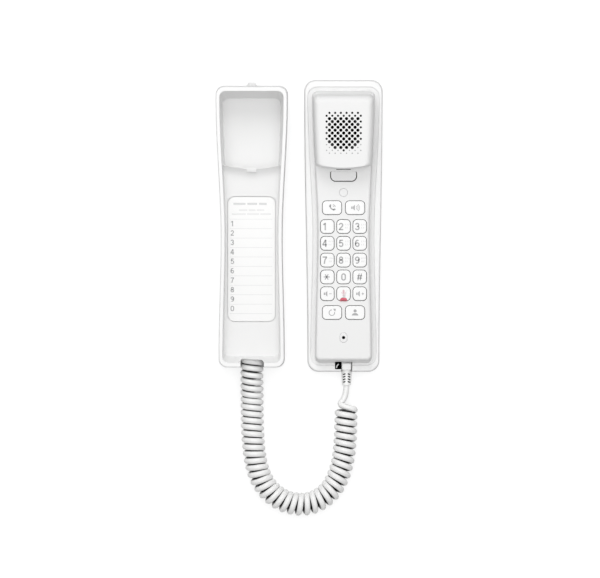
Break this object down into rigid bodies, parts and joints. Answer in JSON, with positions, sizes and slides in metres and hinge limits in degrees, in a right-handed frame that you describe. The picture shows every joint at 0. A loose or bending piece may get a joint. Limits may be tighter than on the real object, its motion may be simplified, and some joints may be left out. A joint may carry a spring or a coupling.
{
  "type": "wall telephone",
  "caption": "Slim corded wall telephone lying open: a waisted handset with a keypad and earpiece dome beside its hollow wall cradle, joined by a curly cord.",
  "frame": {"origin": "centre of the cradle's outline, on the wall face of its back plate", "axes": "+Z out of the wall, +Y up along the cradle, +X to the right, towards the handset laid beside it"},
  "size_m": [0.1256, 0.3271, 0.037],
  "materials": {
    "shell": "satin",
    "keys": "satin",
    "cord": "satin",
    "lens": "clear",
    "red_lens": "gloss",
    "label": "printed",
    "black_plastic": "matt",
    "rubber": "matt",
    "board": "satin",
    "metal": "satin"
  },
  "bodies": {
    "cradle": {"cradle_shell": "shell", "wall_plate": "shell", "cradle_screws": "metal", "directory_label": "label", "cradle_board": "board", "line_jack": "black_plastic", "cradle_cord_jack": "black_plastic", "ringer": "black_plastic", "curly_cord": "cord", "cradle_plug": "lens", "cradle_plug_boot": "cord"},
    "handset": {"handset_rear_shell": "shell", "handset_front_shell": "shell", "handset_screws": "metal", "receiver": "black_plastic", "receiver_magnet": "metal", "receiver_gasket": "rubber", "hook_switch": "black_plastic", "status_lamp_lens": "lens", "keypad_membrane": "rubber", "handset_board": "board", "microphone": "metal", "microphone_boot": "rubber", "handset_cord_jack": "black_plastic", "handset_plug": "lens", "handset_plug_boot": "cord"},
    "hook_button": {"hook_button": "keys"},
    "key_line": {"key_line": "keys"},
    "key_speaker": {"key_speaker": "keys"},
    "key_1": {"key_1": "keys"},
    "key_2": {"key_2": "keys"},
    "key_3": {"key_3": "keys"},
    "key_4": {"key_4": "keys"},
    "key_5": {"key_5": "keys"},
    "key_6": {"key_6": "keys"},
    "key_7": {"key_7": "keys"},
    "key_8": {"key_8": "keys"},
    "key_9": {"key_9": "keys"},
    "key_star": {"key_star": "keys"},
    "key_0": {"key_0": "keys"},
    "key_hash": {"key_hash": "keys"},
    "key_volume_down": {"key_volume_down": "keys"},
    "key_mute": {"key_mute": "keys", "mute_lamp_lens": "red_lens"},
    "key_volume_up": {"key_volume_up": "keys"},
    "key_redial": {"key_redial": "keys"},
    "key_contacts": {"key_contacts": "keys"}
  },
  "joints": [
    {"name": "handset_lift", "type": "slide", "parent": "cradle", "child": "handset", "axis": [0, 0, 1], "range_m": [0, 0.05]},
    {"name": "hook_press", "type": "slide", "parent": "handset", "child": "hook_button", "axis": [0, 0, -1], "range_m": [0, 0.0025], "stiffness_N_per_m": 300, "springref_m": -0.001},
    {"name": "key_line_press", "type": "slide", "parent": "handset", "child": "key_line", "axis": [0, 0, -1], "range_m": [0, 0.0012], "stiffness_N_per_m": 300, "springref_m": -0.001},
    {"name": "key_speaker_press", "type": "slide", "parent": "handset", "child": "key_speaker", "axis": [0, 0, -1], "range_m": [0, 0.0012], "stiffness_N_per_m": 300, "springref_m": -0.001},
    {"name": "key_1_press", "type": "slide", "parent": "handset", "child": "key_1", "axis": [0, 0, -1], "range_m": [0, 0.0012], "stiffness_N_per_m": 300, "springref_m": -0.001},
    {"name": "key_2_press", "type": "slide", "parent": "handset", "child": "key_2", "axis": [0, 0, -1], "range_m": [0, 0.0012], "stiffness_N_per_m": 300, "springref_m": -0.001},
    {"name": "key_3_press", "type": "slide", "parent": "handset", "child": "key_3", "axis": [0, 0, -1], "range_m": [0, 0.0012], "stiffness_N_per_m": 300, "springref_m": -0.001},
    {"name": "key_4_press", "type": "slide", "parent": "handset", "child": "key_4", "axis": [0, 0, -1], "range_m": [0, 0.0012], "stiffness_N_per_m": 300, "springref_m": -0.001},
    {"name": "key_5_press", "type": "slide", "parent": "handset", "child": "key_5", "axis": [0, 0, -1], "range_m": [0, 0.0012], "stiffness_N_per_m": 300, "springref_m": -0.001},
    {"name": "key_6_press", "type": "slide", "parent": "handset", "child": "key_6", "axis": [0, 0, -1], "range_m": [0, 0.0012], "stiffness_N_per_m": 300, "springref_m": -0.001},
    {"name": "key_7_press", "type": "slide", "parent": "handset", "child": "key_7", "axis": [0, 0, -1], "range_m": [0, 0.0012], "stiffness_N_per_m": 300, "springref_m": -0.001},
    {"name": "key_8_press", "type": "slide", "parent": "handset", "child": "key_8", "axis": [0, 0, -1], "range_m": [0, 0.0012], "stiffness_N_per_m": 300, "springref_m": -0.001},
    {"name": "key_9_press", "type": "slide", "parent": "handset", "child": "key_9", "axis": [0, 0, -1], "range_m": [0, 0.0012], "stiffness_N_per_m": 300, "springref_m": -0.001},
    {"name": "key_star_press", "type": "slide", "parent": "handset", "child": "key_star", "axis": [0, 0, -1], "range_m": [0, 0.0012], "stiffness_N_per_m": 300, "springref_m": -0.001},
    {"name": "key_0_press", "type": "slide", "parent": "handset", "child": "key_0", "axis": [0, 0, -1], "range_m": [0, 0.0012], "stiffness_N_per_m": 300, "springref_m": -0.001},
    {"name": "key_hash_press", "type": "slide", "parent": "handset", "child": "key_hash", "axis": [0, 0, -1], "range_m": [0, 0.0012], "stiffness_N_per_m": 300, "springref_m": -0.001},
    {"name": "key_volume_down_press", "type": "slide", "parent": "handset", "child": "key_volume_down", "axis": [0, 0, -1], "range_m": [0, 0.0012], "stiffness_N_per_m": 300, "springref_m": -0.001},
    {"name": "key_mute_press", "type": "slide", "parent": "handset", "child": "key_mute", "axis": [0, 0, -1], "range_m": [0, 0.0012], "stiffness_N_per_m": 300, "springref_m": -0.001},
    {"name": "key_volume_up_press", "type": "slide", "parent": "handset", "child": "key_volume_up", "axis": [0, 0, -1], "range_m": [0, 0.0012], "stiffness_N_per_m": 300, "springref_m": -0.001},
    {"name": "key_redial_press", "type": "slide", "parent": "handset", "child": "key_redial", "axis": [0, 0, -1], "range_m": [0, 0.0012], "stiffness_N_per_m": 300, "springref_m": -0.001},
    {"name": "key_contacts_press", "type": "slide", "parent": "handset", "child": "key_contacts", "axis": [0, 0, -1], "range_m": [0, 0.0012], "stiffness_N_per_m": 300, "springref_m": -0.001}
  ]
}
